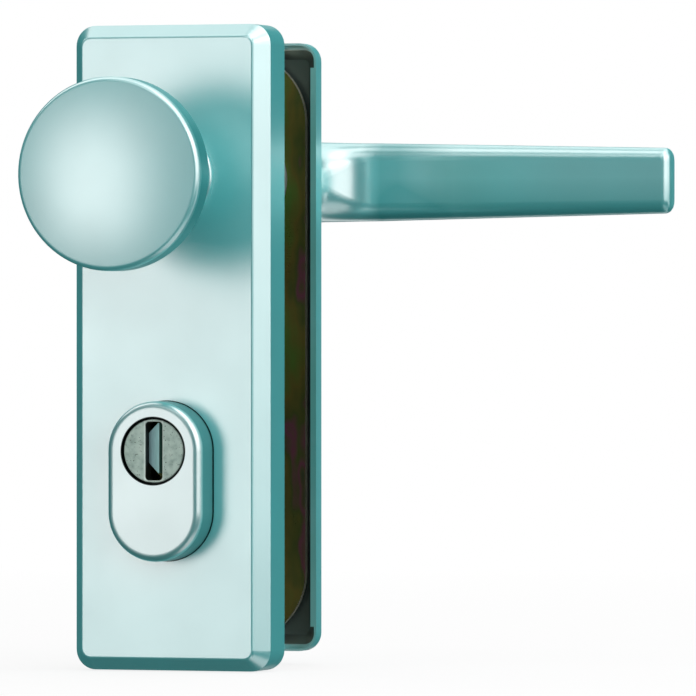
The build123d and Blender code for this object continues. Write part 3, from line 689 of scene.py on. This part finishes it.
class HANDLE_OT_outside(bpy.types.Operator):
    """Finish the outside plate, its knob and its cylinder cover"""

    bl_idname = "handle.outside"
    bl_label = "Outside plate"

    def execute(self, context):
        dress(context, [
            "outer_cover", "knob_collar", "core_disc", "disc_carrier", "disc_spring",
            "disc_snap_ring",
        ])
        finishes = context.scene.handle_finishes
        # The plate, the cylinder cover and the knob get painted shade from their masks
        paint("outer_cover", satin_aluminium(
            finishes, "satin_aluminium_bevelled", painted_shade=painted_edge_shade,
        ))
        paint("cylinder_cover", satin_aluminium(
            finishes, "satin_aluminium_bored", painted_shade=painted_side_shade("cylinder_cover", 2.0 * MM),
            gap_shade=painted_gap_shade, extra_sheen=0.1,
        ))
        paint("knob_head", satin_aluminium(
            finishes, "satin_aluminium_turned", painted_shade=painted_side_shade("knob_head", 3.4 * MM),
        ))
        return {"FINISHED"}


class HANDLE_OT_dust_flap(bpy.types.Operator):
    """Model the folded steel flap that closes the key slot behind the disc's face"""

    bl_idname = "handle.dust_flap"
    bl_label = "Dust flap"

    def execute(self, context):
        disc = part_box("core_disc")
        middle = mid_height(disc)
        shelf = disc[0][1] + 1.0 * MM
        thickness, left_bend, right_bend = 0.4 * MM, 1.7 * MM, 0.9 * MM
        fold, left, right = 0.95 * MM, -2.3 * MM, 2.35 * MM
        top, bottom = middle + 7.4 * MM, middle - 5.8 * MM
        left_top, left_bottom = middle + 4.7 * MM, middle - 3.1 * MM
        flap = block("dust_flap", (left, shelf, bottom), (fold, shelf + thickness, top))
        bpy.ops.object.mode_set(mode="EDIT")
        centre = (left + fold) / 2
        for upper, corner, inner in ((True, top, left_top), (False, bottom, left_bottom)):
            pick(flap, "VERT", lambda spot: spot.co.x < centre and (spot.co.z > middle) == upper)
            bpy.ops.transform.translate(value=(0.0, left_bend, inner - corner))
        pick(flap, "FACE", lambda side: side.normal.x > 0.9)
        bpy.ops.mesh.extrude_region_move(
            TRANSFORM_OT_translate={"value": (right - fold, right_bend, 0.0)},
        )
        bpy.ops.mesh.select_all(action="SELECT")
        bpy.ops.mesh.bevel(offset=0.07 * MM, segments=2, affect="EDGES")
        bpy.ops.mesh.normals_make_consistent(inside=False)
        bpy.ops.object.mode_set(mode="OBJECT")
        flap.data.materials.append(flap_steel(context.scene.handle_finishes))
        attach(flap, "core_disc")
        return {"FINISHED"}


class HANDLE_OT_disc_coil(bpy.types.Operator):
    """Make a welded, smoothly shaded copy of the coil behind the floating disc, in place of the CAD
    one
    """

    bl_idname = "handle.disc_coil"
    bl_label = "Disc coil"

    def execute(self, context):
        coil = bpy.data.objects.new("disc_coil", NODES["disc_spring"].data.copy())
        context.scene.collection.objects.link(coil)
        bpy.ops.object.select_all(action="DESELECT")
        coil.select_set(True)
        context.view_layer.objects.active = coil
        bpy.ops.object.mode_set(mode="EDIT")
        bpy.ops.mesh.select_all(action="SELECT")
        bpy.ops.mesh.remove_doubles(threshold=WELD)
        bpy.ops.object.mode_set(mode="OBJECT")
        bpy.ops.object.shade_smooth_by_angle(angle=SMOOTH_ANGLE)
        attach(coil, "root")
        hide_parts("disc_spring")
        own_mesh(coil)
        return {"FINISHED"}


class HANDLE_OT_inside(bpy.types.Operator):
    """Finish the inside plate and its lever"""

    bl_idname = "handle.inside"
    bl_label = "Inside plate"

    def execute(self, context):
        dress(context, [
            "inner_mounting_plate", "lever_bush", "spring_housing", "lever_return_spring",
            "driver_plate", "lever_washer", "lever_circlip",
        ])
        finishes = context.scene.handle_finishes
        # The inside cover gets painted shade in its hollow, the lever on its face
        paint("inner_cover", satin_aluminium(
            finishes, "satin_aluminium_hollow", hollow_shade=hollow_painted_shade,
        ))
        paint("lever_handle", satin_aluminium(
            finishes, "satin_aluminium_handled", painted_shade=painted_lever_shade,
        ))
        return {"FINISHED"}


class HANDLE_OT_fixings(bpy.types.Operator):
    """Finish the hardened plate, the sleeves, screws, dowels and spindle"""

    bl_idname = "handle.fixings"
    bl_label = "Fixings"

    def execute(self, context):
        dress(context, [
            "outer_backing_plate", "mounting_studs", "outer_cover_screws",
            "cylinder_cover_screws", "knob_screw", "knob_pins", "through_bolts", "spindle",
            "grub_screw",
        ])
        return {"FINISHED"}


# Studio

LEVER = ("lever_handle",)
SEEN_FROM_BEHIND = (
    "inner_cover", "lever_handle", "through_bolts", "mounting_studs", "outer_cover_screws",
    "knob_screw", "cylinder_cover_screws", "outer_backing_plate", "spring_housing",
    "driver_plate", "lever_washer", "spindle",
)

# What a soft box lights
ALL = None
NOT_LEVER = (LEVER, "EXCLUDE")
LEVER_ALONE = (LEVER, "INCLUDE")
BACK_ALONE = (SEEN_FROM_BEHIND, "INCLUDE")

# Name, azimuth, elevation, half width, half height (in degrees, seen from the object), distance in
# metres, radiance, what it lights, and whether it shows in metal
SOFT_BOXES = (
    ("front_box", -22.5, 1.2, 8.5, 11, 1.6, 1.46, NOT_LEVER, True),
    ("wide_box", -28, 0, 33, 30, 1.6, 0.16, NOT_LEVER, True),
    ("arm_strip", -24, 6, 40, 5, 1.6, 0.14, LEVER_ALONE, True),
    ("arm_fill", -15, 25, 30, 25, 1.4, 0.35, LEVER_ALONE, False),
    ("right_box", 70, 17, 30, 22, 1.3, 1.4, ALL, True),
    ("high_box", 80, 64, 16, 13, 1.2, 0.9, ALL, True),
    ("top_box", -90, 67, 14, 35, 0.75, 1.1, ALL, True),
    ("rear_box", 180, 3, 7, 10, 1.4, 1.0, BACK_ALONE, True),
    ("rear_right_box", 119, 3, 9, 20, 1.4, 0.8, BACK_ALONE, True),
    ("rear_left_box", -124, 3, 14, 25, 1.4, 0.9, BACK_ALONE, True),
    ("fill_front", 10, 15, 40, 35, 1.4, 0.84, ALL, False),
    ("fill_right", 100, 15, 30, 35, 1.4, 0.5, ALL, False),
    ("fill_back", 180, 30, 35, 30, 1.4, 0.65, ALL, False),
)

# Name, azimuth, elevation, half width, half height, distance and grey, in the same measures
BLACK_CLOTH = 0.008
FLAGS = (
    ("flag_front", -43, -12, 50, 54, 1.9, BLACK_CLOTH),
    ("flag_camera", 22, -4, 17, 46, 1.9, BLACK_CLOTH),
    ("flag_right", 72, -8, 36, 33, 1.9, BLACK_CLOTH),
    ("flag_left", -122, 0, 30, 42, 1.9, BLACK_CLOTH),
    ("flag_back_right", 148, 0, 29, 42, 1.9, BLACK_CLOTH),
    ("flag_back_left", -165, 0, 24, 28, 1.9, BLACK_CLOTH),
    ("flag_top", -70, 68, 26, 30, 1.9, 0.15),
    ("flag_below", -90, -74, 44, 42, 1.0, BLACK_CLOTH),
    ("flag_below_right", 90, -60, 26, 24, 1.15, 0.5),
)

FLOOR_COLOUR = (0.9, 0.9, 0.9)
WHITE = (1, 1, 1)

# The photograph's camera, as fitted to edges of the object
CAMERA_PLACE = (0.75844962, -2.07231018, -0.03794776)
CAMERA_RIGHT = (0.94551858, 0.32556815, 0.0)
CAMERA_UP = (-0.00105689, 0.00306944, 0.99999473)
CAMERA_SENSOR = 36.0


def bearing(azimuth, elevation):
    """Unit vector to a direction: azimuth 0 is in front of the outside plate, 90 to its right."""
    turn, tilt = radians(azimuth), radians(elevation)
    level = cos(tilt)
    return Vector((sin(turn) * level, -cos(turn) * level, sin(tilt)))


def face_object(thing, azimuth, elevation, distance):
    """Places a lamp or a card at a bearing, with its local Z axis away from the object."""
    way = bearing(azimuth, elevation)
    thing.location = Vector((0.0, 0.0, mid_height(CAD_BOX))) + way * distance
    thing.rotation_mode = "QUATERNION"
    thing.rotation_quaternion = way.to_track_quat("Z", "Y")


def side_for(half_angle, distance):
    """The side of a card that fills twice the half angle at a distance."""
    return 2 * distance * tan(radians(half_angle))


def soft_box(name, azimuth, elevation, half_width, half_height, distance, radiance):
    """A soft box that fills the stated half angles, as bright all over as the radiance says."""
    lamp = bpy.data.lights.new(name, "AREA")
    lamp.shape = "RECTANGLE"
    lamp.size = side_for(half_width, distance)
    lamp.size_y = side_for(half_height, distance)
    lamp.energy = radiance * pi * lamp.size * lamp.size_y
    box = bpy.data.objects.new(name, lamp)
    bpy.context.scene.collection.objects.link(box)
    face_object(box, azimuth, elevation, distance)
    box.visible_camera = False
    return box


def light_some(lamp, names, state):
    """Keeps a lamp off some pieces, or on them alone."""
    pieces = bpy.data.collections.new(lamp.name + "_pieces")
    for name in names:
        pieces.objects.link(NODES[name])
    for piece in pieces.collection_objects:
        piece.light_linking.link_state = state
    lamp.light_linking.receiver_collection = pieces


def flag(name, azimuth, elevation, half_width, half_height, distance, grey):
    """A dark flag that shows only in metal, as those between a photographer's soft boxes do."""
    bpy.ops.object.select_all(action="DESELECT")
    bpy.ops.mesh.primitive_plane_add(size=1.0)
    card = bpy.context.object
    card.name = name
    face_object(card, azimuth, elevation, distance)
    card.scale = (side_for(half_width, distance), side_for(half_height, distance), 1.0)
    colour = (grey, grey, grey)
    material = new_material(name, colour)
    tree = Tree(material)
    tree.finish(tree.node("ShaderNodeEmission", None, {"Color": colour, "Strength": 1.0}))
    material.cycles.emission_sampling = "NONE"
    card.data.materials.append(material)
    card.visible_camera = False
    card.visible_diffuse = False
    card.visible_shadow = False
    card.visible_transmission = False


def background_rays(tree):
    """1 for rays that see the background: the camera's, and those that metal and glass give."""
    rays = [
        tree.node("ShaderNodeLightPath", output=kind)
        for kind in ("Is Camera Ray", "Is Glossy Ray", "Is Transmission Ray")
    ]
    return (rays[0] + rays[1] + rays[2]).clamped()


class HANDLE_OT_studio(bpy.types.Operator):
    """Build the floor, the soft light and the camera"""

    bl_idname = "handle.studio"
    bl_label = "Studio"

    def execute(self, context):
        studio = context.scene.handle_studio
        self.floor(studio)
        self.world(context, studio)
        self.lamps(studio)
        self.camera(context, studio)
        context.scene.view_settings.view_transform = "Standard"
        return {"FINISHED"}

    def floor(self, studio):
        """A pale floor that the camera sees as white, with a faint shadow next to the object."""
        bpy.ops.object.select_all(action="DESELECT")
        bpy.ops.mesh.primitive_plane_add(
            size=studio.floor_size, location=(0, 0, studio.floor_drop),
        )
        floor = bpy.context.object
        floor.name = "floor"
        material = new_material("floor", FLOOR_COLOUR)
        tree = Tree(material)
        plain = tree.shader({
            "Base Color": FLOOR_COLOUR, "Roughness": 0.9, "Specular IOR Level": 0.0,
        })
        white = tree.node("ShaderNodeEmission", None, {"Color": WHITE, "Strength": 1.0})
        x, y, _ = tree.axes()
        far = tree.spread(tree.root(x * x + y * y), 0.15, 0.9, 0.8, 1.0)
        share = background_rays(tree) * far
        tree.finish(tree.node("ShaderNodeMixShader", None, {0: share, 1: plain, 2: white}))
        material.cycles.emission_sampling = "NONE"
        floor.data.materials.append(material)
        floor.visible_glossy = False
        floor.visible_diffuse = False
        floor.visible_shadow = False

    def world(self, context, studio):
        """A room that is white as a background and dimmer as a light."""
        world = bpy.data.worlds.new("room")
        context.scene.world = world
        tree = Tree(world)
        background = background_rays(tree)
        level = background + (1 - background) * studio.room_light
        back = tree.node("ShaderNodeBackground", None, {"Color": WHITE, "Strength": level})
        output = tree.nodes.new("ShaderNodeOutputWorld")
        tree.links.new(back.socket, output.inputs["Surface"])

    def lamps(self, studio):
        """The soft boxes, and the flags that metal reflects between them."""
        for *place, radiance, lit, in_metal in SOFT_BOXES:
            lamp = soft_box(*place, radiance * studio.soft_light)
            if lit:
                light_some(lamp, *lit)
            lamp.visible_glossy = in_metal
        for row in FLAGS:
            flag(*row)

    def camera(self, context, studio):
        """The photograph's view."""
        data = bpy.data.cameras.new("camera")
        data.lens = studio.lens
        data.sensor_width = CAMERA_SENSOR
        data.clip_end = 50.0
        camera = bpy.data.objects.new("camera", data)
        context.scene.collection.objects.link(camera)
        right, up = Vector(CAMERA_RIGHT), Vector(CAMERA_UP)
        turn = Matrix((right, up, right.cross(up))).transposed().to_4x4()
        camera.matrix_world = Matrix.Translation(CAMERA_PLACE) @ turn
        context.scene.camera = camera


# Panel and registration


class HANDLE_PT_panel(bpy.types.Panel):
    """Lists the steps and their settings"""

    bl_label = "Handle Set"
    bl_idname = "HANDLE_PT_panel"
    bl_space_type = "VIEW_3D"
    bl_region_type = "UI"
    bl_category = "Handle Set"

    def draw(self, context):
        layout = self.layout
        for step in STEPS:
            layout.operator(step.bl_idname)
        for group in (context.scene.handle_finishes, context.scene.handle_studio):
            column = layout.column()
            for name in group.__annotations__:
                column.prop(group, name)


STEPS = (
    HANDLE_OT_outside, HANDLE_OT_dust_flap, HANDLE_OT_disc_coil, HANDLE_OT_inside,
    HANDLE_OT_fixings, HANDLE_OT_studio,
)
CLASSES = (HandleFinishes, HandleStudio, *STEPS, HANDLE_PT_panel)


def register():
    for cls in CLASSES:
        bpy.utils.register_class(cls)
    bpy.types.Scene.handle_finishes = bpy.props.PointerProperty(type=HandleFinishes)
    bpy.types.Scene.handle_studio = bpy.props.PointerProperty(type=HandleStudio)


def unregister():
    del bpy.types.Scene.handle_finishes
    del bpy.types.Scene.handle_studio
    for cls in reversed(CLASSES):
        bpy.utils.unregister_class(cls)


def main():
    register()
    bpy.ops.handle.outside()
    bpy.ops.handle.dust_flap()
    bpy.ops.handle.disc_coil()
    bpy.ops.handle.inside()
    bpy.ops.handle.fixings()
    bpy.ops.handle.studio()


if __name__ == "__main__":
    main()
